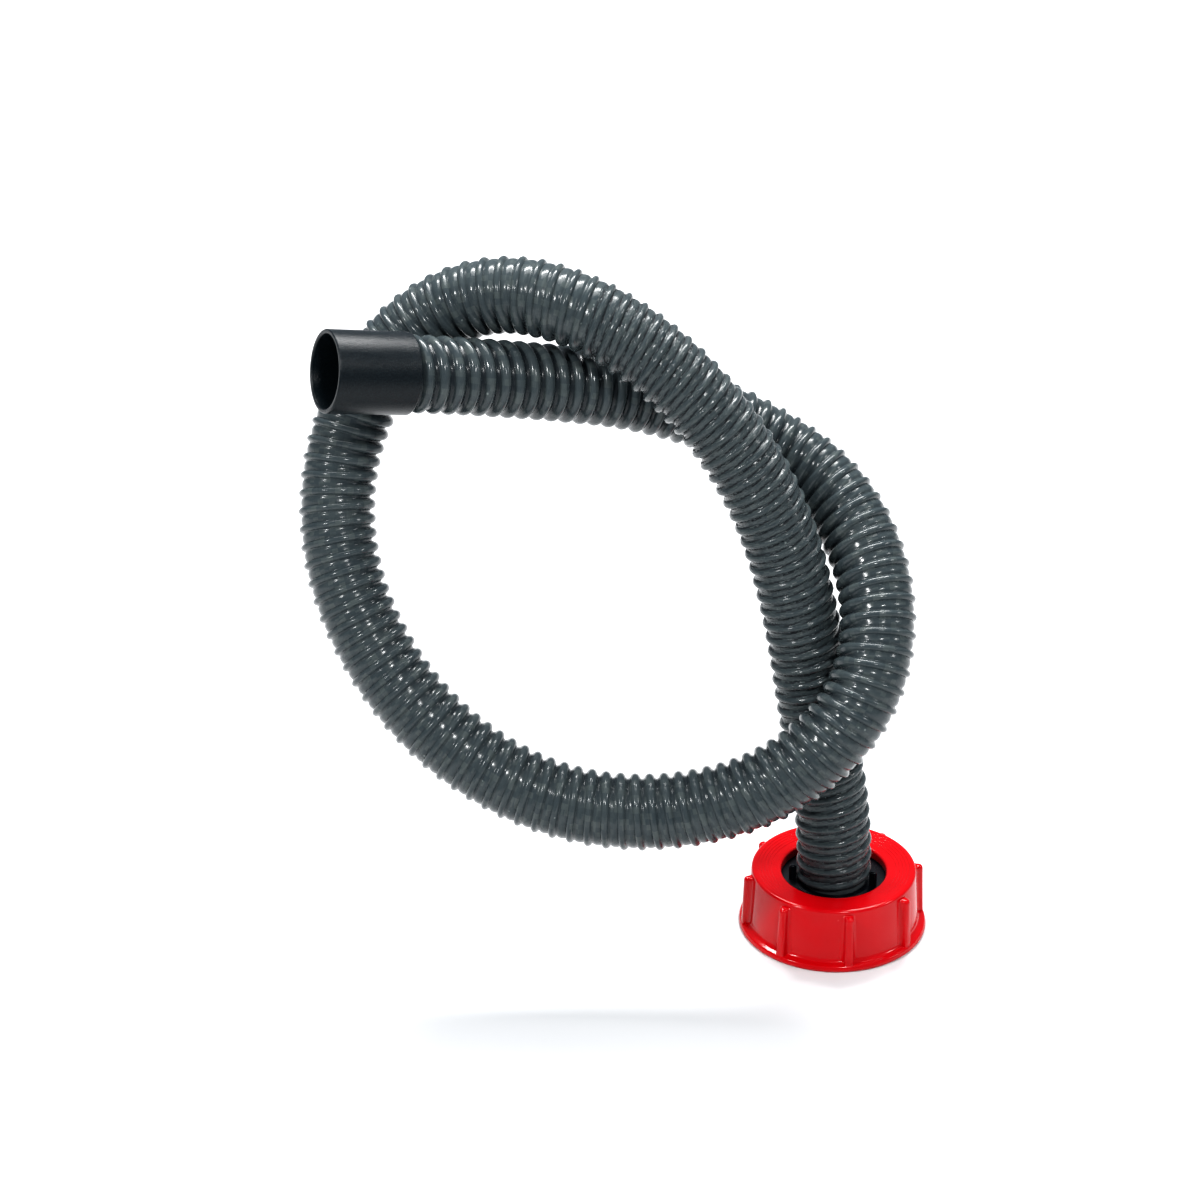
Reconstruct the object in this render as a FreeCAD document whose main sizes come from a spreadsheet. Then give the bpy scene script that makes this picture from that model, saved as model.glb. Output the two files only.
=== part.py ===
"""Sewer hose kit: a helix-ribbed drain hose with a lugged screw cap on one end and a plain cuff on
the other.  Millimetres, +Z up.  The origin is the centre of the screw cap's bottom face, and +Z is
the cap's axis.  The hose rises from the cap, makes a loop, and ends in the cuff."""
import FreeCAD, Part
import math
import os

import Sketcher

V = FreeCAD.Vector

# ------------------------------------------------------------------------------------ dimensions
DIMENSIONS = {
    # screw cap
    "cap_height": 39.5, "flange_radius": 57.5, "flange_height": 4.0, "flange_slope": 1.2,
    "flange_round": 1.3, "skirt_foot_radius": 51.6, "skirt_top_radius": 50.2,
    "shoulder_round": 3.2, "web_underside": 32.4, "hole_radius": 32.0, "hole_chamfer": 1.6,
    "thread_radius": 48.0, "thread_depth": 25.4, "seat_radius": 46.3,
    "ring_step": 0.25, "ring_width": 2.0, "ring_outer_radius": 46.2,
    "lug_count": 8, "lug_phase": 7.5, "lug_width": 6.0, "lug_root_radius": 48.8,
    "lug_foot_radius": 55.8, "lug_top_radius": 54.6, "lug_top": 36.8, "lug_round": 2.0,
    # flanged tail that the hose is pushed onto, with its two guide ears
    "tail_flange_radius": 45.8, "tail_flange_under": 29.0, "tail_flange_top": 32.0,
    "spigot_radius": 20.0, "spigot_top": 60.0, "spigot_chamfer": 1.0, "waterway_radius": 17.5,
    "ear_inner_radius": 23.1, "ear_outer_radius": 27.4, "ear_thickness": 3.0, "ear_height": 10.0,
    "ear_round": 1.2,
    # flat sealing ring under the tail's flange
    "seal_outer_radius": 45.6, "seal_inner_radius": 34.0, "seal_under": 26.0, "seal_top": 29.0,
    # hose
    "hose_outer_radius": 22.5, "hose_inner_radius": 20.0,
    # cuff
    "cuff_outer_radius": 24.2, "cuff_socket_radius": 22.7, "cuff_socket_depth": 28.0,
    "cuff_mouth_radius": 21.5, "cuff_mouth_depth": 23.0, "cuff_edge": 0.6,
}

# Azimuths of the two ears on the tail, in degrees about +Z from +X.
EAR_AZIMUTHS = (184.0, 338.0)

# Corner points of the hose's centre line, from the tail's flange to the shoulder inside the cuff.
HOSE_ROUTE = [
    (0, 0, 32), (0, 0, 76), (-13, 10, 140), (-24, 16, 213), (-44, 21, 282), (-87, 33, 347),
    (-146, 52, 388), (-208, 73, 394), (-264, 80, 358), (-297, 58, 300), (-299, 25, 240),
    (-273, -5, 184), (-228, -30, 140), (-168, -46, 112), (-101, -51, 108), (-37, -50, 128),
    (14, -34, 173), (25, 9, 224), (0, 59, 268), (-56, 87, 296), (-116, 80, 322),
    (-178, 56, 341), (-240, 28, 359), (-279, 12, 368),
]
ARC_SHARE = 0.45          # share of the shorter run that an arc takes up
RING_COUNT = 5            # fine steps turned into the cap's top

doc = FreeCAD.newDocument("SewerHoseKit")
sheet = doc.addObject("Spreadsheet::Sheet", "Dims")
for row, (alias, value) in enumerate(DIMENSIONS.items(), start=1):
    sheet.set("A%d" % row, alias)
    sheet.set("B%d" % row, str(value))
    sheet.setAlias("B%d" % row, alias)
doc.recompute()
D = {alias: float(sheet.get(alias)) for alias in DIMENSIONS}


# --------------------------------------------------------------------------------------- helpers
def new_body(label):
    body = doc.addObject("PartDesign::Body", label)
    body.Label = label
    return body


def origin_plane(body, role):
    return next(f for f in body.Origin.OriginFeatures if f.Role == role)


def outline(body, name, plane, corners):
    """Closed sketch of straight lines.  Each corner is a pair of expressions in the sheet's
    aliases, measured from the sketch's origin, and both are bound to the sheet."""
    sketch = body.newObject("Sketcher::SketchObject", name)
    sketch.AttachmentSupport = [(origin_plane(body, plane), "")]
    sketch.MapMode = "FlatFace"
    values = [tuple(size_of(text) for text in corner) for corner in corners]
    count = len(corners)
    for i in range(count):
        a, b = values[i], values[(i + 1) % count]
        sketch.addGeometry(Part.LineSegment(V(a[0], a[1], 0), V(b[0], b[1], 0)), False)
    for i in range(count):
        sketch.addConstraint(Sketcher.Constraint("Coincident", i, 2, (i + 1) % count, 1))
    for i, corner in enumerate(corners):
        for kind, axis, k in (("DistanceX", -2, 0), ("DistanceY", -1, 1)):
            if abs(values[i][k]) < 1e-9:
                sketch.addConstraint(Sketcher.Constraint("PointOnObject", i, 1, axis))
                continue
            index = sketch.addConstraint(Sketcher.Constraint(kind, -1, 1, i, 1, values[i][k]))
            sketch.setExpression("Constraints[%d]" % index, bound(corner[k]))
    doc.recompute()
    return sketch


def bound(text):
    """The expression with each alias read from the sheet."""
    return " ".join("Dims." + word if word in D else word for word in text.split())


def size_of(text):
    """Value of a sum or difference of aliases and numbers, such as 'cap_height - 2'."""
    total, sign = 0.0, 1.0
    for word in text.split():
        if word in "+-":
            sign = 1.0 if word == "+" else -1.0
            continue
        total += sign * (D[word] if word in D else float(word))
        sign = 1.0
    return total


def revolve(body, name, corners):
    """Full turn about Z of an outline in the XZ plane."""
    sketch = outline(body, name + "_profile", "XZ_Plane", corners)
    turn = body.newObject("PartDesign::Revolution", name)
    turn.Profile = sketch
    turn.ReferenceAxis = (sketch, ["V_Axis"])
    turn.Angle = 360.0
    doc.recompute()
    return turn


def pad(body, name, plane, corners, length, midplane=True):
    sketch = outline(body, name + "_outline", plane, corners)
    block = body.newObject("PartDesign::Pad", name)
    block.Profile = sketch
    block.setExpression("Length", bound(length))
    block.Midplane = midplane
    doc.recompute()
    return block


def polar(body, name, feature, count_alias):
    pattern = body.newObject("PartDesign::PolarPattern", name)
    pattern.Originals = [feature]
    pattern.Axis = (origin_line(body, "Z_Axis"), [""])
    pattern.Angle = 360.0
    pattern.setExpression("Occurrences", bound(count_alias))
    body.Tip = pattern
    doc.recompute()
    return pattern


def origin_line(body, role):
    return next(f for f in body.Origin.OriginFeatures if f.Role == role)


def fillet(body, name, radius, chosen):
    """Rounds the edges of the body's last feature that the function chosen accepts."""
    base = body.Tip
    names = ["Edge%d" % i for i, edge in enumerate(base.Shape.Edges, start=1) if chosen(edge)]
    rounding = body.newObject("PartDesign::Fillet", name)
    rounding.Base = (base, names)
    rounding.setExpression("Radius", bound(radius))
    doc.recompute()
    return rounding


def ring_edge(radius, height):
    """Test for the round edge of a given radius and height about the Z axis."""
    def chosen(edge):
        curve = edge.Curve
        if not isinstance(curve, Part.Circle):
            return False
        return (abs(curve.Radius - radius) < 0.01 and abs(curve.Center.z - height) < 0.01
                and math.hypot(curve.Center.x, curve.Center.y) < 0.01)
    return chosen


# ------------------------------------------------------------------------------------- screw cap
def screw_cap():
    body = new_body("screw_cap")
    rings = []
    for count in range(RING_COUNT):
        radius = "ring_outer_radius" + " - ring_width" * count
        rings.append((radius, "cap_height" + " - ring_step" * count))
        rings.append((radius, "cap_height" + " - ring_step" * (count + 1)))
    lip = rings[-1][1]
    corners = [
        ("thread_radius", "0"), ("flange_radius", "0"), ("flange_radius", "flange_height"),
        ("skirt_foot_radius", "flange_height + flange_slope"), ("skirt_top_radius", "cap_height"),
    ] + rings + [
        ("hole_radius + hole_chamfer", lip), ("hole_radius", lip + " - hole_chamfer"),
        ("hole_radius", "web_underside"), ("seat_radius", "web_underside"),
        ("seat_radius", "thread_depth"), ("thread_radius", "thread_depth"),
    ]
    revolve(body, "cap_shell", corners)
    fillet(body, "cap_shoulder", "shoulder_round",
           ring_edge(D["skirt_top_radius"], D["cap_height"]))
    lug = pad(body, "lug", "XZ_Plane", [
        ("lug_root_radius", "flange_height - 2"), ("lug_foot_radius", "flange_height - 2"),
        ("lug_top_radius", "lug_top"), ("lug_root_radius", "lug_top"),
    ], "lug_width")
    polar(body, "lugs", lug, "lug_count")

    def lug_nose(edge):
        ends = [v.Point for v in edge.Vertexes]
        if len(ends) != 2:
            return False
        out = [math.hypot(p.x, p.y) for p in ends]
        upright = abs(ends[0].z - ends[1].z) > 20 and min(out) > D["lug_top_radius"] - 0.3
        across = min(p.z for p in ends) > D["lug_top"] - 0.01 and min(out) > D["lug_top_radius"] - 0.3
        return upright or across
    fillet(body, "lug_noses", "lug_round", lug_nose)
    fillet(body, "flange_rim", "flange_round", lambda edge: (
        ring_edge(D["flange_radius"], D["flange_height"])(edge)
        or ring_edge(D["flange_radius"], 0.0)(edge)))
    body.Placement = FreeCAD.Placement(V(0, 0, 0), FreeCAD.Rotation(V(0, 0, 1), D["lug_phase"]))
    return body


# ------------------------------------------------------------------------------------- hose tail
def hose_tail():
    body = new_body("hose_tail")
    revolve(body, "tail_turned", [
        ("waterway_radius", "tail_flange_under"), ("tail_flange_radius", "tail_flange_under"),
        ("tail_flange_radius", "tail_flange_top"), ("spigot_radius", "tail_flange_top"),
        ("spigot_radius", "spigot_top - spigot_chamfer"),
        ("spigot_radius - spigot_chamfer", "spigot_top"), ("waterway_radius", "spigot_top"),
    ])
    for number, azimuth in enumerate(EAR_AZIMUTHS, start=1):
        sketch = outline(body, "ear_%d_outline" % number, "XZ_Plane", [
            ("ear_inner_radius", "tail_flange_top - 1"),
            ("ear_outer_radius", "tail_flange_top - 1"),
            ("ear_outer_radius", "tail_flange_top + ear_height - ear_round"),
            ("ear_outer_radius - ear_round", "tail_flange_top + ear_height"),
            ("ear_inner_radius", "tail_flange_top + ear_height"),
        ])
        sketch.AttachmentOffset = FreeCAD.Placement(
            V(0, 0, 0), FreeCAD.Rotation(V(0, 1, 0), azimuth))
        ear = body.newObject("PartDesign::Pad", "ear_%d" % number)
        ear.Profile = sketch
        ear.setExpression("Length", bound("ear_thickness"))
        ear.Midplane = True
        doc.recompute()
    return body


# ---------------------------------------------------------------------------------- sealing ring
def sealing_ring():
    body = new_body("sealing_ring")
    revolve(body, "seal_turned", [
        ("seal_inner_radius", "seal_under"), ("seal_outer_radius", "seal_under"),
        ("seal_outer_radius", "seal_top"), ("seal_inner_radius", "seal_top"),
    ])
    return body


# ------------------------------------------------------------------------------------------ hose
def route_wire(points):
    """Straight runs joined by tangent arcs, each as large as its two runs allow.  Returns the
    wire, its length and the arcs' radii."""
    corners = [V(*p) for p in points]
    edges, radii, start = [], [], corners[0]
    for before, corner, after in zip(corners, corners[1:], corners[2:]):
        back, ahead = before - corner, after - corner
        reach = ARC_SHARE * min(back.Length, ahead.Length)
        turn = math.pi - back.getAngle(ahead)
        radius = reach / math.tan(turn / 2)
        entry = corner + back.normalize() * reach
        leave = corner + ahead.normalize() * reach
        middle = (back + ahead).normalize()
        apex = corner + middle * (radius / math.cos(turn / 2) - radius)
        edges.append(Part.LineSegment(start, entry).toShape())
        edges.append(Part.Arc(entry, apex, leave).toShape())
        radii.append(radius)
        start = leave
    edges.append(Part.LineSegment(start, corners[-1]).toShape())
    wire = Part.Wire(edges)
    return wire, wire.Length, radii


def hose(wire):
    first = wire.Edges[0]
    foot = first.valueAt(first.FirstParameter)
    heading = first.tangentAt(first.FirstParameter)
    walls = []
    for radius in (D["hose_outer_radius"], D["hose_inner_radius"]):
        ring = Part.Wire([Part.Circle(foot, heading, radius).toShape()])
        walls.append(wire.makePipeShell([ring], True, False))
    part = doc.addObject("Part::Feature", "hose")
    part.Label = "hose"
    part.Shape = walls[0].cut(walls[1])
    return part


# ------------------------------------------------------------------------------------------ cuff
def end_cuff():
    """Its own +Z points out of the mouth, and its origin is the shoulder that the hose meets."""
    body = new_body("end_cuff")
    revolve(body, "cuff_turned", [
        ("cuff_mouth_radius", "0"), ("cuff_mouth_radius", "cuff_mouth_depth - cuff_edge"),
        ("cuff_mouth_radius + cuff_edge", "cuff_mouth_depth"),
        ("cuff_outer_radius - cuff_edge", "cuff_mouth_depth"),
        ("cuff_outer_radius", "cuff_mouth_depth - cuff_edge"),
        ("cuff_outer_radius", "cuff_edge - cuff_socket_depth"),
        ("cuff_outer_radius - cuff_edge", "0 - cuff_socket_depth"),
        ("cuff_socket_radius", "0 - cuff_socket_depth"), ("cuff_socket_radius", "0"),
    ])
    seat, before = V(*HOSE_ROUTE[-1]), V(*HOSE_ROUTE[-2])
    body.Placement = FreeCAD.Placement(seat, FreeCAD.Rotation(V(0, 0, 1), seat - before))
    return body


# ------------------------------------------------------------------------------- build and write
path, path_length, arc_radii = route_wire(HOSE_ROUTE)
parts = [screw_cap(), hose_tail(), sealing_ring(), hose(path), end_cuff()]
doc.recompute()

for item in doc.Objects:
    if "Invalid" in item.State or "Error" in item.State:
        raise RuntimeError("%s failed: %s" % (item.Name, item.State))
for item in parts:
    if item.Shape.isNull() or not item.Shape.isValid() or len(item.Shape.Solids) != 1:
        raise RuntimeError("%s has no single valid solid" % item.Label)

section = math.pi * (D["hose_outer_radius"] ** 2 - D["hose_inner_radius"] ** 2)
hose_volume = next(item for item in parts if item.Label == "hose").Shape.Volume
print("hose length %.0f mm, volume over section times length %.4f"
      % (path_length, hose_volume / (section * path_length)))
print("arc radii", [round(radius) for radius in arc_radii])

os.makedirs("parts", exist_ok=True)
for item in parts:
    item.Shape.exportStep("parts/%s.step" % item.Label)
    box = item.Shape.BoundBox
    print("%-14s volume %9.0f  x %.1f %.1f  y %.1f %.1f  z %.1f %.1f" % (
        item.Label, item.Shape.Volume, box.XMin, box.XMax, box.YMin, box.YMax, box.ZMin, box.ZMax))
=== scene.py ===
"""Looks of the sewer hose kit: the ribbed hose, its lugged screw cap, tail, sealing ring and cuff,
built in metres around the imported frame, with a studio of soft lights over a pale floor."""
import math

import bmesh
import bpy
from mathutils import Matrix, Vector


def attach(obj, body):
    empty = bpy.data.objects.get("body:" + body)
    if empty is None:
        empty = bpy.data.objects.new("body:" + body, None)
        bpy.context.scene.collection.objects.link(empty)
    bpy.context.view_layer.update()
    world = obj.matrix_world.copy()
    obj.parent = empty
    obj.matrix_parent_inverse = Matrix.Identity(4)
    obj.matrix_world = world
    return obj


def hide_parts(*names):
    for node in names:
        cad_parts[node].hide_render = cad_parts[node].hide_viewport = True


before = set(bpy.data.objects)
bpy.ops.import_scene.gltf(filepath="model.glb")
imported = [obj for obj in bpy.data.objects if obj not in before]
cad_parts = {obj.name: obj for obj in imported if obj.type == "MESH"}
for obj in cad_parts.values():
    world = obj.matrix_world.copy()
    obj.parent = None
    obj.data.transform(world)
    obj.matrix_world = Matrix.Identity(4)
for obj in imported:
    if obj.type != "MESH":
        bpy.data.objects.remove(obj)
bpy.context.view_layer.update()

MM = 0.001
UP = Vector((0, 0, 1))

# Centre line of the hose: from the tail's flange, round the loop, to the shoulder in the cuff.
ROUTE = [
    (0, 0, .032), (0, 0, .076), (-.013, .010, .140), (-.024, .016, .213), (-.044, .021, .282),
    (-.087, .033, .347), (-.146, .052, .388), (-.208, .073, .394), (-.264, .080, .358),
    (-.297, .058, .300), (-.299, .025, .240), (-.273, -.005, .184), (-.228, -.030, .140),
    (-.168, -.046, .112), (-.101, -.051, .108), (-.037, -.050, .128), (.014, -.034, .173),
    (.025, .009, .224), (0, .059, .268), (-.056, .087, .296), (-.116, .080, .322),
    (-.178, .056, .341), (-.240, .028, .359), (-.279, .012, .368),
]
HOSE_CREST = 23.0 * MM          # radius over the helical bead
BEAD_HEIGHT = 2.2 * MM
BEAD_TURNS = 158
BEAD_COLUMNS, VALLEY_COLUMNS = 3, 4     # rows of faces from a bead's crest to its foot, and beyond
HOSE_SIDES = 38                 # faces round the skin and round the bore
SPIGOT_REACH = 0.03             # the bore keeps its full width over the tail's spigot
BORE_NARROWING, NARROWING_RUN = 1.5 * MM, 0.02
DRAWN_OUT = 0.09                # how far the whole hose is pulled longer than its slack length
CUFF_RUN, CUFF_FADE, CUFF_SQUEEZE = 0.3, 10.0, 0.16     # the last 0.3 m is pushed together again


# --------------------------------------------------------------------------- node trees in words
class Wire:
    """An output of a node.  Sums written with wires add the nodes that work them out."""

    def __init__(self, socket):
        self.socket = socket

    def __add__(self, other):
        return sums("ADD", self, other)

    def __sub__(self, other):
        return sums("SUBTRACT", self, other)

    def __rsub__(self, other):
        return sums("SUBTRACT", other, self)

    def __mul__(self, other):
        return sums("MULTIPLY", self, other)

    def __truediv__(self, other):
        return sums("DIVIDE", self, other)


def feed(socket, value):
    """Joins a wire to an input, or sets the input to a plain value."""
    if isinstance(value, Wire):
        socket.id_data.links.new(value.socket, socket)
    else:
        socket.default_value = value


def add(tree, kind, inputs=None, **settings):
    """Adds a node, with its settings and its inputs by name or number."""
    node = tree.nodes.new(kind)
    for name, value in settings.items():
        setattr(node, name, value)
    for key, value in (inputs or {}).items():
        feed(node.inputs[key], value)
    return node


def out(node, key=0):
    return Wire(node.outputs[key])


def tree_of(values):
    return next(value.socket.id_data for value in values if isinstance(value, Wire))


def sums(operation, *values):
    node = add(tree_of(values), "ShaderNodeMath", operation=operation)
    for socket, value in zip(node.inputs, values):
        feed(socket, value)
    return out(node)


def vectors(operation, *values):
    node = add(tree_of(values), "ShaderNodeVectorMath", operation=operation)
    for socket, value in zip(node.inputs, values):
        feed(socket, value)
    return out(node, "Value" if operation == "DISTANCE" else "Vector")


def scaled(vector, factor):
    node = add(tree_of((vector, factor)), "ShaderNodeVectorMath", operation="SCALE")
    feed(node.inputs["Vector"], vector)
    feed(node.inputs["Scale"], factor)
    return out(node, "Vector")


def limited(value, low, high):
    return sums("MINIMUM", sums("MAXIMUM", value, low), high)


def new_tree(name, kind, inputs, outputs):
    """A node group with named inputs and outputs.  Each is given as name: (socket type, value)."""
    tree = bpy.data.node_groups.new(name, kind)
    for title, (socket_type, value) in inputs.items():
        socket = tree.interface.new_socket(title, in_out="INPUT", socket_type=socket_type)
        if value is not None:
            socket.default_value = value
    for title, socket_type in outputs.items():
        tree.interface.new_socket(title, in_out="OUTPUT", socket_type=socket_type)
    entry = tree.nodes.new("NodeGroupInput")
    return tree, lambda title: out(entry, title)


def close_tree(tree, **results):
    leave = tree.nodes.new("NodeGroupOutput")
    for title, value in results.items():
        feed(leave.inputs[title.replace("_", " ")], value)


FLOAT, INT, VECTOR = "NodeSocketFloat", "NodeSocketInt", "NodeSocketVector"
GEOMETRY, OBJECT, MATERIAL = "NodeSocketGeometry", "NodeSocketObject", "NodeSocketMaterial"


# ------------------------------------------------------------------------------ objects and meshes
def show(name, data):
    piece = bpy.data.objects.new(name, data)
    bpy.context.scene.collection.objects.link(piece)
    return piece


def grow(name, tree, **values):
    """Runs a Geometry Nodes tree and returns its result as a plain mesh object."""
    host = show(name + "_host", bpy.data.meshes.new(name + "_host"))
    modifier = host.modifiers.new(tree.name, "NODES")
    modifier.node_group = tree
    for socket in tree.interface.items_tree:
        key = socket.name.replace(" ", "_")
        if key in values:
            modifier[socket.identifier] = values[key]
    depsgraph = bpy.context.evaluated_depsgraph_get()
    depsgraph.update()
    mesh = bpy.data.meshes.new_from_object(host.evaluated_get(depsgraph), depsgraph=depsgraph)
    mesh.name = name
    bpy.data.objects.remove(host)
    return show(name, mesh)


def finish_tree(tree, geometry, material):
    """Every tree ends in the same two nodes: instances made real, and the piece's material."""
    real = add(tree, "GeometryNodeRealizeInstances", {"Geometry": geometry})
    dressed = add(tree, "GeometryNodeSetMaterial", {"Geometry": out(real), "Material": material})
    close_tree(tree, Geometry=out(dressed))


def drop(*objects):
    for item in objects:
        bpy.data.objects.remove(item)


def smooth(mesh, crease_degrees=40):
    """Shades the mesh smooth except across edges that turn by more than the crease angle."""
    work = bmesh.new()
    work.from_mesh(mesh)
    for face in work.faces:
        face.smooth = True
    for edge in work.edges:
        edge.smooth = edge.calc_face_angle(0) < math.radians(crease_degrees)
    work.to_mesh(mesh)
    work.free()


def rounded(corners, steps=5):
    """Closed outline from corners (radius, height, rounding), in millimetres.  A corner with a
    rounding is replaced by an arc that touches both of its sides."""
    points = []
    for index, (radius, height, rounding) in enumerate(corners):
        here = Vector((radius, height))
        if not rounding:
            points.append(here)
            continue
        back = Vector(corners[index - 1][:2]) - here
        ahead = Vector(corners[(index + 1) % len(corners)][:2]) - here
        half = back.angle(ahead) / 2
        reach = min(rounding / math.tan(half), back.length * 0.49, ahead.length * 0.49)
        radius_here = reach * math.tan(half)
        middle = (back.normalized() + ahead.normalized()).normalized()
        centre = here + middle * (radius_here / math.sin(half))
        start = here + back.normalized() * reach - centre
        sweep = start.angle_signed(here + ahead.normalized() * reach - centre)
        for step in range(steps + 1):
            points.append(centre + Matrix.Rotation(-sweep * step / steps, 2) @ start)
    return points


def lathe(name, corners, sides, base=Vector(), axis=UP, steps=5):
    """Solid turned from a closed outline about an axis.  Heights are measured along the axis
    from the base."""
    turn = UP.rotation_difference(axis).to_matrix()
    outline = rounded(corners, steps)
    work = bmesh.new()
    rings = []
    for side in range(sides):
        angle = math.tau * side / sides
        ring = []
        for point in outline:
            place = Vector((point.x * math.cos(angle), point.x * math.sin(angle), point.y))
            ring.append(work.verts.new(base + turn @ place * MM))
        rings.append(ring)
    for side, ring in enumerate(rings):
        beside = rings[(side + 1) % sides]
        for index in range(len(ring)):
            after = (index + 1) % len(ring)
            work.faces.new((ring[index], beside[index], beside[after], ring[after]))
    bmesh.ops.recalc_face_normals(work, faces=work.faces)
    mesh = bpy.data.meshes.new(name)
    work.to_mesh(mesh)
    work.free()
    smooth(mesh)
    return mesh


# ------------------------------------------------------------------------------------- camera
def place_camera():
    data = bpy.data.cameras.new("camera")
    data.sensor_width = 36
    data.lens = 120
    camera = show("camera", data)
    camera.location = (-.14268, -2.05598, 1.36508)
    camera.rotation_euler = (math.radians(61), 0, 0)
    bpy.context.scene.camera = camera


# --------------------------------------------------------------------------------------- hose
def route_curve():
    data = bpy.data.curves.new("hose_route", "CURVE")
    data.dimensions = "3D"
    data.resolution_u = 48
    spline = data.splines.new("NURBS")
    spline.points.add(len(ROUTE) - 1)
    for point, place in zip(spline.points, ROUTE):
        point.co = (*place, 1)
    spline.order_u = 3
    spline.use_endpoint_u = True
    return show("hose_route", data)


def place_on_route(tree, route, along, angle, radius):
    """Point at a distance along the route, at an angle about it and a radius from it."""
    sample = add(tree, "GeometryNodeSampleCurve", {"Curves": route, "Length": along},
                 mode="LENGTH", use_all_curves=True)
    across = out(sample, "Normal")
    beside = vectors("CROSS_PRODUCT", out(sample, "Tangent"), across)
    spoke = vectors("ADD", scaled(across, sums("COSINE", angle)),
                    scaled(beside, sums("SINE", angle)))
    return vectors("ADD", out(sample, "Position"), scaled(spoke, radius))


def grid(tree, rows, columns):
    """Flat grid to be shaped, with each vertex's row and column number."""
    made = add(tree, "GeometryNodeMeshGrid", {"Size X": 1.0, "Size Y": 1.0,
                                              "Vertices X": rows, "Vertices Y": columns + 1})
    index = out(add(tree, "GeometryNodeInputIndex"))
    row = sums("FLOOR", (index + 0.5) / (columns + 1))
    return out(made, "Mesh"), row, index - row * (columns + 1)


def store(tree, geometry, name, value, data_type="FLOAT", domain="POINT"):
    node = add(tree, "GeometryNodeStoreNamedAttribute", data_type=data_type, domain=domain)
    feed(node.inputs["Geometry"], geometry)
    feed(node.inputs["Name"], name)
    feed(node.inputs["Value"], value)
    return out(node)


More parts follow.
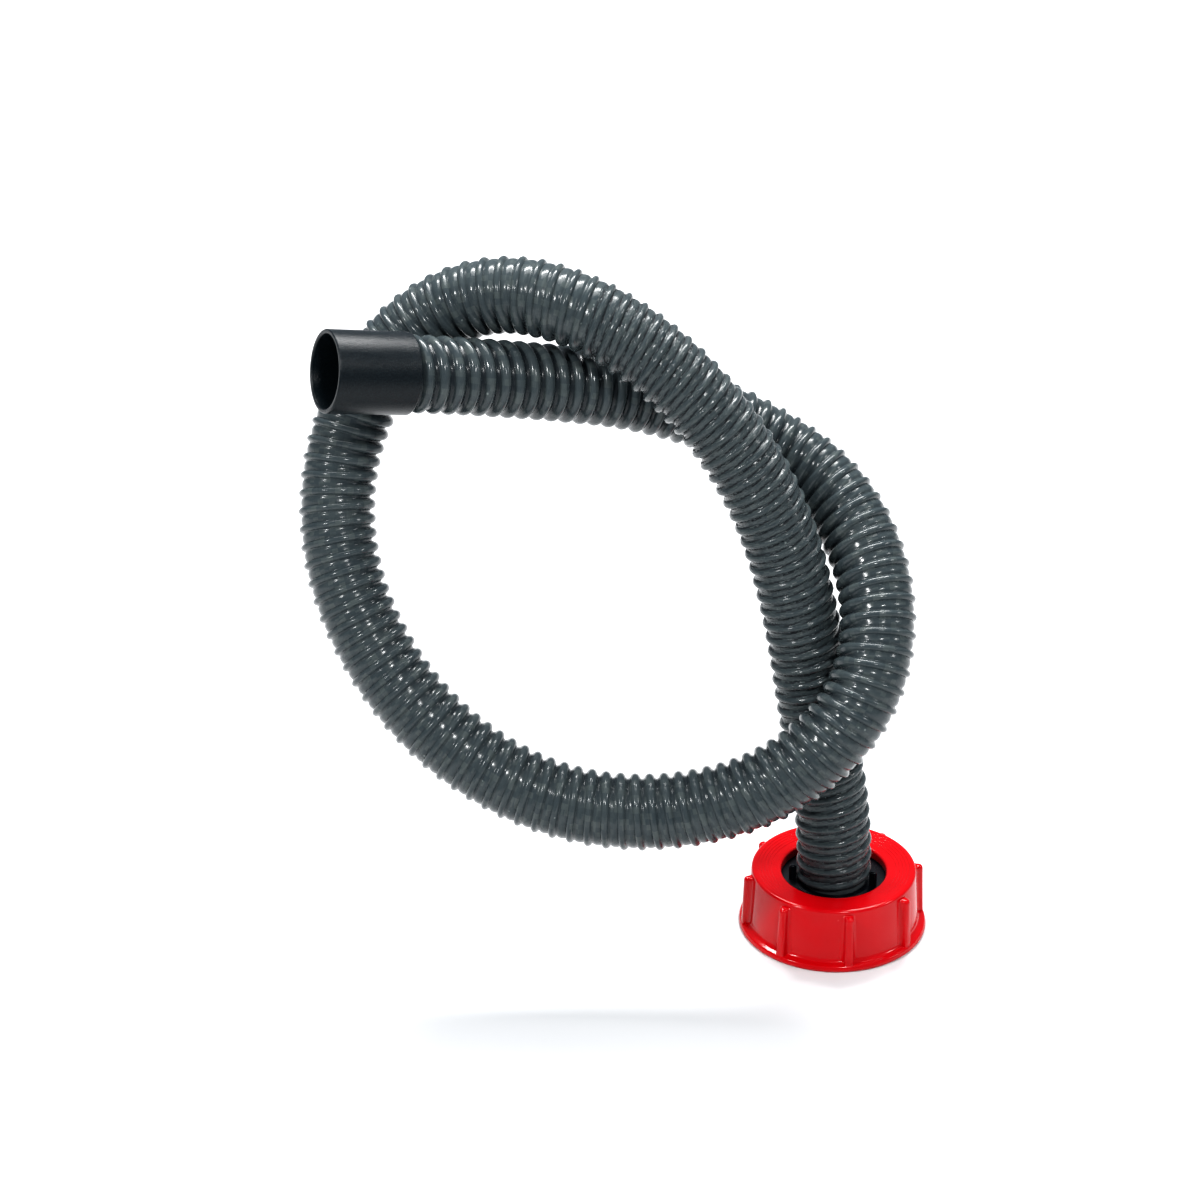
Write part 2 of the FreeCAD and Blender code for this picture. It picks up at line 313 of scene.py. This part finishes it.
def hose_tree():
    """The hose as it is made: one strip, wound round the route edge to edge.  The strip's section
    is a bead between two halves of a valley.  The bead narrows only a little where the hose is
    drawn out, so that in a bend the valleys close up and fold inwards on the inside, and open on
    the outside."""
    half = BEAD_COLUMNS + VALLEY_COLUMNS
    tree, given = new_tree("wound_hose", "GeometryNodeTree", {
        "Route": (OBJECT, None), "Finish": (MATERIAL, None), "Turns": (FLOAT, 1.0),
        "Sides": (FLOAT, 1.0), "Crest Radius": (FLOAT, 1.0), "Bead Height": (FLOAT, 1.0),
        "Slack Width": (FLOAT, 1.0), "Taut Width": (FLOAT, 1.0), "Groove": (FLOAT, 0.0),
        "Fold Depth": (FLOAT, 1.0), "Bulge": (FLOAT, 1.0),
        "Unevenness": (FLOAT, 0.0), "Bore Radius": (FLOAT, 1.0), "Bore Rings": (FLOAT, 1.0),
    }, {"Geometry": GEOMETRY})
    route = out(add(tree, "GeometryNodeObjectInfo", {"Object": given("Route")}), "Geometry")
    length = out(add(tree, "GeometryNodeCurveLength", {"Curve": route}))
    pitch = length / given("Turns")
    floor = given("Crest Radius") - given("Bead Height")

    strip, row, column = grid(tree, (given("Turns") + 1) * given("Sides") + 1, 2 * half)
    turn = row / given("Sides") - 0.5
    angle = sums("FRACT", turn + 1.0) * math.tau
    bead_centre = turn * pitch
    station = limited(bead_centre + (column - half) * (pitch / (2 * half)), pitch * 0.5,
                      length - pitch * 0.5)
    ahead, behind = station + pitch * 0.5, station - pitch * 0.5
    stretch = vectors("DISTANCE",
                      place_on_route(tree, route, ahead, angle, floor),
                      place_on_route(tree, route, behind, angle, floor)) / pitch
    to_cuff = length - station
    ease = (stretch + DRAWN_OUT
            - limited((CUFF_RUN - to_cuff) * CUFF_FADE, 0.0, 1.0) * CUFF_SQUEEZE)
    width = limited(given("Slack Width") - (ease - 0.98) * 9 * MM, given("Taut Width"),
                    given("Slack Width"))
    outward = sums("ABSOLUTE", column - half)
    on_bead = sums("SINE", sums("MINIMUM", outward / BEAD_COLUMNS, 1.0) * (math.pi / 2))
    in_valley = sums("MAXIMUM", outward - BEAD_COLUMNS, 0.0) / VALLEY_COLUMNS
    foot = width / stretch
    aside = on_bead * foot + in_valley * (pitch * 0.5 - foot)
    along = limited(bead_centre + aside * sums("SIGN", column - half), 0.0, length)

    from_crest = sums("ABSOLUTE", along - bead_centre) * stretch
    part = sums("MINIMUM", from_crest / width, 1.0)
    bead = sums("POWER", 1.0 - part * part, 0.7) * given("Bead Height")
    share = limited((from_crest - width) / (pitch * stretch * 0.5 - width), 0.0, 1.0)
    sag = limited((ease - 1.08) * 0.012, 0.0 - given("Fold Depth"), given("Bulge"))
    foot_line = limited(1.0 - sums("ABSOLUTE", share - 0.2) * 5.0, 0.0, 1.0)
    leading = sums("GREATER_THAN", column, half)
    groove = foot_line * leading * given("Groove")
    valley = sums("SINE", share * (math.pi / 2)) * sag - groove
    even = place_on_route(tree, route, along, angle, floor)
    ripple = add(tree, "ShaderNodeTexNoise", {"Vector": even, "Scale": 45.0, "Detail": 2.0})
    uneven = (out(ripple, 0) - 0.5) * given("Unevenness")
    place = place_on_route(tree, route, along, angle, floor + bead + valley + uneven)

    wound = add(tree, "GeometryNodeSetPosition", {"Geometry": strip, "Position": place})
    wrap = add(tree, "ShaderNodeCombineXYZ", {"X": turn, "Y": (along - bead_centre) / pitch})
    skin = store(tree, out(wound), "rise", (bead + valley) / given("Bead Height"))
    skin = store(tree, skin, "past_foot", (from_crest - width) / MM)
    skin = store(tree, skin, "wrap", out(wrap), "FLOAT_VECTOR", "CORNER")

    tube, ring, spoke = grid(tree, given("Bore Rings") + 1, HOSE_SIDES)
    inner_angle = spoke * (-math.tau / HOSE_SIDES)
    inner_along = ring / given("Bore Rings") * length
    past_spigot = limited((inner_along - SPIGOT_REACH) / NARROWING_RUN, 0.0, 1.0)
    narrowing = past_spigot * BORE_NARROWING
    inner = place_on_route(tree, route, inner_along, inner_angle,
                           given("Bore Radius") - narrowing)
    bore = out(add(tree, "GeometryNodeSetPosition", {"Geometry": tube, "Position": inner}))
    bore = store(tree, bore, "rise", 0.0)
    bore = store(tree, bore, "past_foot", 3.0)
    both = add(tree, "GeometryNodeJoinGeometry")
    for part_of_hose in (bore, skin):
        feed(both.inputs[0], part_of_hose)
    welded = add(tree, "GeometryNodeMergeByDistance", {"Geometry": out(both), "Distance": 1e-5})
    finish_tree(tree, out(welded), given("Finish"))
    return tree


def close_hose_ends(mesh):
    """Joins the skin to the bore with a flat ring of faces at each end of the hose.  The skin and
    the bore have vertices at the same angles, so each skin vertex joins the nearest bore one.  The
    new faces take the finish of the skin beside them."""
    work = bmesh.new()
    work.from_mesh(mesh)
    rims = [edge for edge in work.edges if edge.is_boundary]
    for end in (Vector(ROUTE[0]), Vector(ROUTE[-1])):
        here = [edge for edge in rims if (edge.verts[0].co - end).length < 2 * HOSE_CREST]
        vertices = sorted({vertex for edge in here for vertex in edge.verts},
                          key=lambda vertex: (vertex.co - end).length)
        inner = vertices[:len(vertices) // 2]
        for edge in here:
            first, second = edge.verts
            if first in inner or second in inner:
                continue
            partners = [min(inner, key=lambda place: (place.co - vertex.co).length)
                        for vertex in (second, first)]
            beside = edge.link_faces[0]
            face = work.faces.new((first, second, *partners))
            face.material_index = beside.material_index
            face.smooth = beside.smooth
    bmesh.ops.recalc_face_normals(work, faces=work.faces)
    work.to_mesh(mesh)
    work.free()


def make_hose(finish):
    route = route_curve()
    line = bpy.data.meshes.new_from_object(route)
    path = [tuple(vertex.co) for vertex in line.vertices]
    hose = grow("ribbed_hose", hose_tree(), Route=route, Finish=finish, Turns=float(BEAD_TURNS),
                Sides=float(HOSE_SIDES), Crest_Radius=HOSE_CREST, Bead_Height=BEAD_HEIGHT,
                Slack_Width=2.9 * MM, Taut_Width=2.3 * MM, Groove=0.5 * MM,
                Fold_Depth=1.5 * MM, Bulge=0.7 * MM, Unevenness=0.3 * MM,
                Bore_Radius=20 * MM, Bore_Rings=160.0)
    close_hose_ends(hose.data)
    smooth(hose.data, crease_degrees=80)
    drop(route)
    return hose, path


# ---------------------------------------------------------------------------------- screw cap
# Millimetres, until they are made metres.
CAP_HEIGHT, CAP_HOLE, CAP_SHOULDER, CAP_FLANGE = 39.5, 32.0, 50.2, 57.5
LUG_COUNT, LUG_PHASE = 8, math.radians(7.5)
THREAD_PITCH, THREAD_TURNS, THREAD_RADIUS = 6.0, 3.6, 48.0
THREAD_DEPTH, THREAD_START, THREAD_RIDGE = 25.4, 2.2, 1.9
SEAT_RADIUS, SEAT_TOP = 46.3, 32.4      # the pocket over the thread, which holds the tail's flange
TOP_STEPS, STEP_DROP, STEP_TREAD = 5, 0.25, 2.0     # the fine steps in the cap's top
SKIRT_FOOT = 52.7                       # the skirt's radius at the foot of the lugs
LUG_TIP_FOOT, LUG_TIP_TOP = 56.4, 55.3


def cap_shell_mesh():
    """The cap without its lugs and thread, turned from its section."""
    rings = []
    for count in range(TOP_STEPS):
        radius, height = 46.4 - STEP_TREAD * count, CAP_HEIGHT - STEP_DROP * count
        rings += [(radius, height, 0.1), (radius - 0.4, height - STEP_DROP, 0.1)]
    lip = CAP_HEIGHT - TOP_STEPS * STEP_DROP
    return lathe("cap_shell", [
        (THREAD_RADIUS, 0, 0), (CAP_FLANGE - 1.0, 0, 0.8), (CAP_FLANGE, 1.6, 1.2),
        (CAP_FLANGE - 0.9, 4.0, 1.3), (52.2, 5.2, 4.0), (CAP_SHOULDER, CAP_HEIGHT, 3.4),
        *rings, (CAP_HOLE, lip, 1.6), (CAP_HOLE, SEAT_TOP, 0.3), (SEAT_RADIUS, SEAT_TOP, 0.5),
        (SEAT_RADIUS, THREAD_DEPTH, 0.3), (THREAD_RADIUS, THREAD_DEPTH, 0.3),
    ], 176)


def lug_mesh():
    """One grip lug on the +X side.  Its sides flare into the skirt, and its top is rounded."""
    foot, top, half_width, flare, nose = 3.0, 36.5, 2.9, 2.7, 2.0
    work = bmesh.new()
    rings = []
    heights = [foot + (top - nose - foot) * step / 10 for step in range(11)]
    levels = [(height, 0.0) for height in heights]
    levels += [(top - nose + nose * math.sin(turn), nose * (1 - math.cos(turn)))
               for turn in (math.pi / 8 * step for step in range(1, 5))]
    levels.append((top, nose + 2.5))
    for height, tuck in levels:
        slope = (height - foot) / (top - foot)
        root = SKIRT_FOOT + (CAP_SHOULDER - SKIRT_FOOT) * slope - 0.15
        tip = max(LUG_TIP_FOOT + (LUG_TIP_TOP - LUG_TIP_FOOT) * slope - tuck, root - 2.0)
        side = half_width - 0.35 * slope - min(tuck, nose) * 0.8
        reach = min(flare, (tip - root) * 0.7) if tip > root else 0.05
        plan = []
        for step in range(5):
            turn = math.pi / 2 * step / 4
            plan.append((side + reach * (1 - math.sin(turn)), root + reach * (1 - math.cos(turn))))
        round_off = min(nose, side * 0.9, max(tip - root - reach, 0.05))
        for step in range(5):
            turn = math.pi / 2 * step / 4
            plan.append((side - round_off * (1 - math.cos(turn)),
                         tip - round_off * (1 - math.sin(turn))))
        plan = [(side + reach + 0.5, root - 1.2)] + plan
        whole = plan + [(-across, outward) for across, outward in reversed(plan)]
        ring = []
        for across, outward in whole:
            drop_off = across * across / (2 * root)
            ring.append(work.verts.new(Vector((outward - drop_off, across, height)) * MM))
        rings.append(ring)
    for below, above in zip(rings, rings[1:]):
        for index in range(len(below)):
            after = (index + 1) % len(below)
            work.faces.new((below[index], below[after], above[after], above[index]))
    work.faces.new(reversed(rings[0]))
    work.faces.new(rings[-1])
    bmesh.ops.remove_doubles(work, verts=work.verts, dist=1e-6)
    bmesh.ops.recalc_face_normals(work, faces=work.faces)
    mesh = bpy.data.meshes.new("grip_lug")
    work.to_mesh(mesh)
    work.free()
    smooth(mesh, 50)
    return mesh


def cap_tree():
    """The turned shell, with a ring of lugs round it and a helical thread inside."""
    tree, given = new_tree("lugged_cap", "GeometryNodeTree", {
        "Shell": (OBJECT, None), "Lug": (OBJECT, None), "Finish": (MATERIAL, None),
        "Lug Count": (INT, 8), "Lug Phase": (FLOAT, 0.0), "Thread Radius": (FLOAT, 1.0),
        "Thread Pitch": (FLOAT, 1.0), "Thread Turns": (FLOAT, 1.0), "Thread Start": (FLOAT, 0.0),
    }, {"Geometry": GEOMETRY})
    shell = out(add(tree, "GeometryNodeObjectInfo", {"Object": given("Shell")}), "Geometry")
    lug = out(add(tree, "GeometryNodeObjectInfo", {"Object": given("Lug")}), "Geometry")
    count = given("Lug Count")
    spots = add(tree, "GeometryNodeMeshLine", {"Count": count, "Offset": (0.0, 0.0, 0.0)})
    number = out(add(tree, "GeometryNodeInputIndex"))
    facing = add(tree, "ShaderNodeCombineXYZ",
                 {"Z": number * math.tau / count + given("Lug Phase")})
    lugs = add(tree, "GeometryNodeInstanceOnPoints",
               {"Points": out(spots), "Instance": lug, "Rotation": out(facing)})
    height = given("Thread Pitch") * given("Thread Turns")
    winding = add(tree, "GeometryNodeCurveSpiral", {
        "Resolution": 72, "Rotations": given("Thread Turns"), "Height": height,
        "Start Radius": given("Thread Radius"), "End Radius": given("Thread Radius")})
    lifted = add(tree, "GeometryNodeTransform", {"Geometry": out(winding)})
    feed(lifted.inputs["Translation"],
         out(add(tree, "ShaderNodeCombineXYZ", {"Z": given("Thread Start")})))
    section = add(tree, "GeometryNodeCurvePrimitiveCircle", {"Resolution": 6, "Radius": THREAD_RIDGE * MM})
    ridge = add(tree, "GeometryNodeCurveToMesh", {"Curve": out(lifted),
                                                  "Profile Curve": out(section),
                                                  "Fill Caps": True})
    all_of_it = add(tree, "GeometryNodeJoinGeometry")
    for piece in (out(ridge), out(lugs), shell):
        feed(all_of_it.inputs[0], piece)
    finish_tree(tree, out(all_of_it), given("Finish"))
    return tree


def make_cap(finish):
    shell, lug = show("cap_shell", cap_shell_mesh()), show("grip_lug", lug_mesh())
    cap = grow("lugged_cap", cap_tree(), Shell=shell, Lug=lug, Finish=finish,
               Lug_Count=LUG_COUNT, Lug_Phase=LUG_PHASE, Thread_Radius=THREAD_RADIUS * MM,
               Thread_Pitch=THREAD_PITCH * MM, Thread_Turns=THREAD_TURNS,
               Thread_Start=THREAD_START * MM)
    drop(shell, lug)
    return cap


# ------------------------------------------------------------------------------ tail and seal
TAIL_BORE, TAIL_FLANGE, SPIGOT = 17.5, 45.8, 20.0
EAR_OUT, EAR_UP, EAR_AZIMUTHS = 25.25, 36.6, (184, 338)
EAR_DEEP, EAR_WIDE, EAR_TALL = 4.3, 3.0, 10.8
SEAL_HOLE, SEAL_EDGE, SEAL_FOOT, SEAL_TOP = 34, 45.6, 26, 29


def ear_mesh(azimuth):
    """Guide ear beside the hose: a thin upright fin with rounded edges."""
    work = bmesh.new()
    bmesh.ops.create_cube(work, size=1)
    for vertex in work.verts:
        vertex.co = Vector((EAR_OUT + EAR_DEEP * vertex.co.x, EAR_WIDE * vertex.co.y,
                            EAR_UP + EAR_TALL * vertex.co.z))
    bmesh.ops.bevel(work, geom=work.edges, offset=0.7, segments=3, affect="EDGES")
    turn = Matrix.Rotation(math.radians(azimuth), 3, "Z")
    for vertex in work.verts:
        vertex.co = turn @ vertex.co * MM
    mesh = bpy.data.meshes.new("ear")
    work.to_mesh(mesh)
    work.free()
    return mesh


def joined(name, meshes, finish):
    work = bmesh.new()
    for mesh in meshes:
        work.from_mesh(mesh)
    whole = bpy.data.meshes.new(name)
    work.to_mesh(whole)
    work.free()
    smooth(whole)
    whole.materials.append(finish)
    return show(name, whole)


def make_tail(finish):
    turned = lathe("tail_turned", [
        (TAIL_BORE, 29, 0.4), (TAIL_FLANGE, 29, 0.4), (TAIL_FLANGE, 32, 0.5), (24.6, 32, 0.3),
        (24.0, 32.5, 0.3), (SPIGOT, 32.5, 0.2), (SPIGOT, 36, 0), (SPIGOT - 0.1, 59, 0.5),
        (SPIGOT - 1, 60, 0.3), (TAIL_BORE, 60, 0.4),
    ], 120)
    return joined("flanged_tail", [turned, *map(ear_mesh, EAR_AZIMUTHS)], finish)


def make_seal(finish):
    return joined("seal_ring", [lathe("seal_turned", [
        (SEAL_HOLE, SEAL_FOOT, 0.5), (SEAL_EDGE, SEAL_FOOT, 0.5),
        (SEAL_EDGE, SEAL_TOP, 0.5), (SEAL_HOLE, SEAL_TOP, 0.5)], 120)], finish)


# --------------------------------------------------------------------------------------- cuff
CUFF_BORE, CUFF_SOCKET, CUFF_OUTSIDE, SOCKET_DEPTH = 21.5, 22.7, 24.2, 28


def make_cuff(finish):
    seat, before = Vector(ROUTE[-1]), Vector(ROUTE[-2])
    turned = lathe("cuff_turned", [
        (CUFF_BORE, 0, 0.3), (CUFF_BORE, 22.4, 0.5), (22.1, 23, 0.5), (23.7, 23, 0.5),
        (CUFF_OUTSIDE, 22.4, 0.5), (CUFF_OUTSIDE, -27.2, 0.7), (23.5, -SOCKET_DEPTH, 0.4),
        (CUFF_SOCKET, -SOCKET_DEPTH, 0.3), (CUFF_SOCKET, 0, 0.3),
    ], 160, seat, (seat - before).normalized(), 4)
    return joined("push_on_cuff", [turned], finish)


# ---------------------------------------------------------------------------------- materials
def grain_group():
    """Fine moulded grain over broad unevenness."""
    tree, given = new_tree("moulded_grain", "ShaderNodeTree", {
        "Vector": (VECTOR, None), "Grain": (FLOAT, 1500.0), "Patches": (FLOAT, 40.0),
    }, {"Height": FLOAT, "Mottle": FLOAT})
    fine = add(tree, "ShaderNodeTexNoise", {"Vector": given("Vector"), "Scale": given("Grain"),
                                            "Detail": 3.0, "Roughness": 0.6})
    broad = add(tree, "ShaderNodeTexNoise", {"Vector": given("Vector"),
                                             "Scale": given("Patches"), "Detail": 4.0})
    close_tree(tree, Height=out(fine), Mottle=out(broad))
    return tree


def specks_group():
    """Sparse small spots, as of dust or splashes."""
    tree, given = new_tree("dust_specks", "ShaderNodeTree", {
        "Vector": (VECTOR, None), "Density": (FLOAT, 300.0), "Size": (FLOAT, 0.1),
        "Share": (FLOAT, 0.3),
    }, {"Mask": FLOAT})
    cells = add(tree, "ShaderNodeTexVoronoi", {"Vector": given("Vector"),
                                               "Scale": given("Density")})
    pick = add(tree, "ShaderNodeSeparateColor", {"Color": out(cells, "Color")})
    chosen = sums("LESS_THAN", out(pick, 0), given("Share"))
    size = given("Size") * (out(pick, 1) + 0.3)
    near = limited((size - out(cells, "Distance")) / size * 2.0, 0.0, 1.0)
    close_tree(tree, Mask=near * chosen)
    return tree


def group(tree, made, **inputs):
    node = add(tree, "ShaderNodeGroup", node_tree=made)
    for name, value in inputs.items():
        feed(node.inputs[name], value)
    return node


def mixed(tree, share, first, second):
    node = add(tree, "ShaderNodeMix", data_type="RGBA")
    feed(node.inputs["Factor"], share)
    feed(node.inputs["A"], first)
    feed(node.inputs["B"], second)
    return out(node, "Result")


def new_material(name, **settings):
    """Principled material.  The settings are the shader's own values, by name."""
    made = bpy.data.materials.new(name)
    made.use_nodes = True
    shader = made.node_tree.nodes["Principled BSDF"]
    for title, value in settings.items():
        shader.inputs[title.replace("_", " ")].default_value = value
    return made, made.node_tree, shader


def object_place(tree):
    return out(add(tree, "ShaderNodeTexCoord"), "Object")


def bump(tree, height, strength, distance):
    return out(add(tree, "ShaderNodeBump", {"Height": height, "Strength": strength,
                                            "Distance": distance}))


def hose_finish(grain, specks):
    made, tree, shader = new_material("hose_plastic", IOR=1.5, Specular_IOR_Level=0.28)
    place = object_place(tree)
    wrap = add(tree, "ShaderNodeSeparateXYZ")
    feed(wrap.inputs[0], out(add(tree, "ShaderNodeAttribute", attribute_name="wrap"), "Vector"))
    rise = out(add(tree, "ShaderNodeAttribute", attribute_name="rise"), "Fac")
    past_foot = out(add(tree, "ShaderNodeAttribute", attribute_name="past_foot"), "Fac")
    turn, phase = out(wrap, 0), out(wrap, 1)
    lines_at = add(tree, "ShaderNodeCombineXYZ", {
        "X": sums("COSINE", turn * math.tau) * 3.5, "Y": sums("SINE", turn * math.tau) * 3.5,
        "Z": (turn + phase) * 5.5})
    lines = out(add(tree, "ShaderNodeTexNoise", {"Vector": out(lines_at), "Scale": 1.0,
                                                 "Detail": 1.5, "Roughness": 0.6}))
    noise = group(tree, grain, Vector=place, Grain=700.0, Patches=60.0)
    dust = group(tree, specks, Vector=place, Density=260.0, Size=0.2, Share=0.05)
    # Painted shade: the colour darkens in the crease at each bead's foot, more on the side ahead along the
    # hose, and in the sunken hollows of folded valleys.
    crease = limited(1.7 - sums("ABSOLUTE", past_foot - 0.45) / 0.7, 0.0, 1.0)
    crease = crease * limited(phase * 20.0 + 0.35, 0.05, 1.0)
    hollow = limited(rise * -1.3, 0.0, 0.75)
    body = mixed(tree, limited(out(noise, "Mottle") * 1.8 - 0.5, 0.0, 1.0),
                 (.034, .045, .050, 1), (.050, .062, .065, 1))
    streaked = mixed(tree, limited(lines * 2.4 - 1.1, 0.0, 0.5), body, (.085, .100, .096, 1))
    painted_crease_shade = mixed(tree, sums("MAXIMUM", crease * 0.92, hollow), streaked, (.006, .009, .012, 1))
    feed(shader.inputs["Base Color"],
         mixed(tree, out(dust, "Mask") * 0.5, painted_crease_shade, (.26, .30, .29, 1)))
    feed(shader.inputs["Roughness"], lines * 0.08 + out(noise, "Height") * 0.06 + crease * 0.5
         + 0.11)
    feed(shader.inputs["Normal"],
         bump(tree, lines + out(noise, "Height") * 0.08, 1.0, 0.43 * MM))
    return made


def cap_finish(grain, specks):
    made, tree, shader = new_material("cap_plastic", IOR=1.49, Specular_IOR_Level=0.26)
    place = object_place(tree)
    noise = group(tree, grain, Vector=place, Grain=700.0, Patches=28.0)
    dust = group(tree, specks, Vector=place, Density=180.0, Size=0.12, Share=0.05)
    red = mixed(tree, limited(out(noise, "Mottle") * 1.4 - 0.3, 0.0, 1.0),
                (.46, .0003, .003, 1), (.56, .0006, .005, 1))
    feed(shader.inputs["Base Color"],
         mixed(tree, out(dust, "Mask") * 0.3, red, (.70, .08, .08, 1)))
    feed(shader.inputs["Roughness"], out(noise, "Mottle") * 0.1 + 0.08)
    feed(shader.inputs["Normal"],
         bump(tree, out(noise, "Height") * 0.06 + out(noise, "Mottle"), 0.25, 0.6 * MM))
    return made


def black_finish(name, grain, specks, base, sheen, gloss, roughness, fineness, depth, dusty):
    """Black moulded plastic or rubber: base colour, the paler colour its grain wears to, how
    strongly it mirrors, and how rough, fine and deep its grain is."""
    made, tree, shader = new_material(name, IOR=1.5, Specular_IOR_Level=gloss)
    place = object_place(tree)
    noise = group(tree, grain, Vector=place, Grain=fineness, Patches=50.0)
    dust = group(tree, specks, Vector=place, Density=300.0, Size=0.14, Share=dusty)
    tone = mixed(tree, limited(out(noise, "Height") * 2.4 - 0.9, 0.0, 1.0), base, sheen)
    feed(shader.inputs["Base Color"],
         mixed(tree, out(dust, "Mask") * 0.4, tone, (.16, .17, .17, 1)))
    feed(shader.inputs["Roughness"], out(noise, "Mottle") * 0.14 + roughness)
    feed(shader.inputs["Normal"], bump(tree, out(noise, "Height"), 0.5, depth))
    return made


def floor_finish(grain):
    made, tree, shader = new_material("floor_paint", Roughness=0.9)
    noise = group(tree, grain, Vector=object_place(tree), Grain=300.0, Patches=3.0)
    feed(shader.inputs["Base Color"],
         mixed(tree, out(noise, "Mottle"), (.65, .65, .655, 1), (.68, .68, .68, 1)))
    return made


# ------------------------------------------------------------------------------------- studio
def soft_light(name, azimuth, elevation, distance, size, strength):
    """Square soft light aimed at the middle of the hose.  Azimuth 0 is the camera's side."""
    target = Vector((-.12, 0, .2))
    around, up = math.radians(azimuth), math.radians(elevation)
    away = Vector((math.sin(around) * math.cos(up), -math.cos(around) * math.cos(up),
                   math.sin(up)))
    data = bpy.data.lights.new(name, "AREA")
    data.shape = "RECTANGLE"
    data.size, data.size_y = size
    data.energy = strength
    light = show(name, data)
    light.location = target + away * distance
    light.rotation_euler = away.to_track_quat("Z", "Y").to_euler()


def studio(grain):
    bpy.ops.mesh.primitive_plane_add(size=30)
    floor = bpy.context.object
    floor.name = "floor"
    floor.data.materials.append(floor_finish(grain))
    world = bpy.data.worlds.new("studio")
    bpy.context.scene.world = world
    world.use_nodes = True
    world.node_tree.nodes["Background"].inputs["Color"].default_value = (.8, .9, 1, 1)
    world.node_tree.nodes["Background"].inputs["Strength"].default_value = 0.32
    soft_light("key_left", -56, 42, 2.4, (.24, .24), 28)
    soft_light("key_right", 20, 48, 2.4, (.22, .22), 25)
    soft_light("side_right", 84, 32, 2.4, (.3, .3), 10)
    soft_light("overhead", 180, 66, 2.2, (1.8, 1.0), 38)
    soft_light("strip_behind", 180, 57, 2.1, (1.5, .3), 46)
    bpy.context.scene.view_settings.view_transform = "Standard"
    bpy.context.scene.view_settings.look = "Medium High Contrast"


# -------------------------------------------------------------------------------------- build
place_camera()
grain_nodes, speck_nodes = grain_group(), specks_group()
hose, hose_path = make_hose(hose_finish(grain_nodes, speck_nodes))
cuff = make_cuff(black_finish("cuff_plastic", grain_nodes, speck_nodes, (.001, .003, .005, 1),
                              (.009, .015, .018, 1), 0.24, 0.24, 1300.0, 0.35 * MM, 0.02))
cap = make_cap(cap_finish(grain_nodes, speck_nodes))
tail = make_tail(black_finish("tail_plastic", grain_nodes, speck_nodes, (.001, .002, .004, 1),
                              (.003, .004, .007, 1), 0.22, 0.22, 900.0, 0.05 * MM, 0.05))
seal = make_seal(black_finish("seal_rubber", grain_nodes, speck_nodes, (.012, .012, .012, 1),
                              (.03, .03, .03, 1), 0.2, 0.6, 1100.0, 0.15 * MM, 0.1))
studio(grain_nodes)

for piece, body, node, slot in (
        (hose, "hose_line", "hose", "hose_grey"), (cuff, "hose_line", "end_cuff", "cuff_black"),
        (cap, "cap", "screw_cap", "cap_red"), (tail, "hose_line", "hose_tail", "tail_black"),
        (seal, "hose_line", "sealing_ring", "seal_rubber")):
    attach(piece, body)
    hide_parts(node)
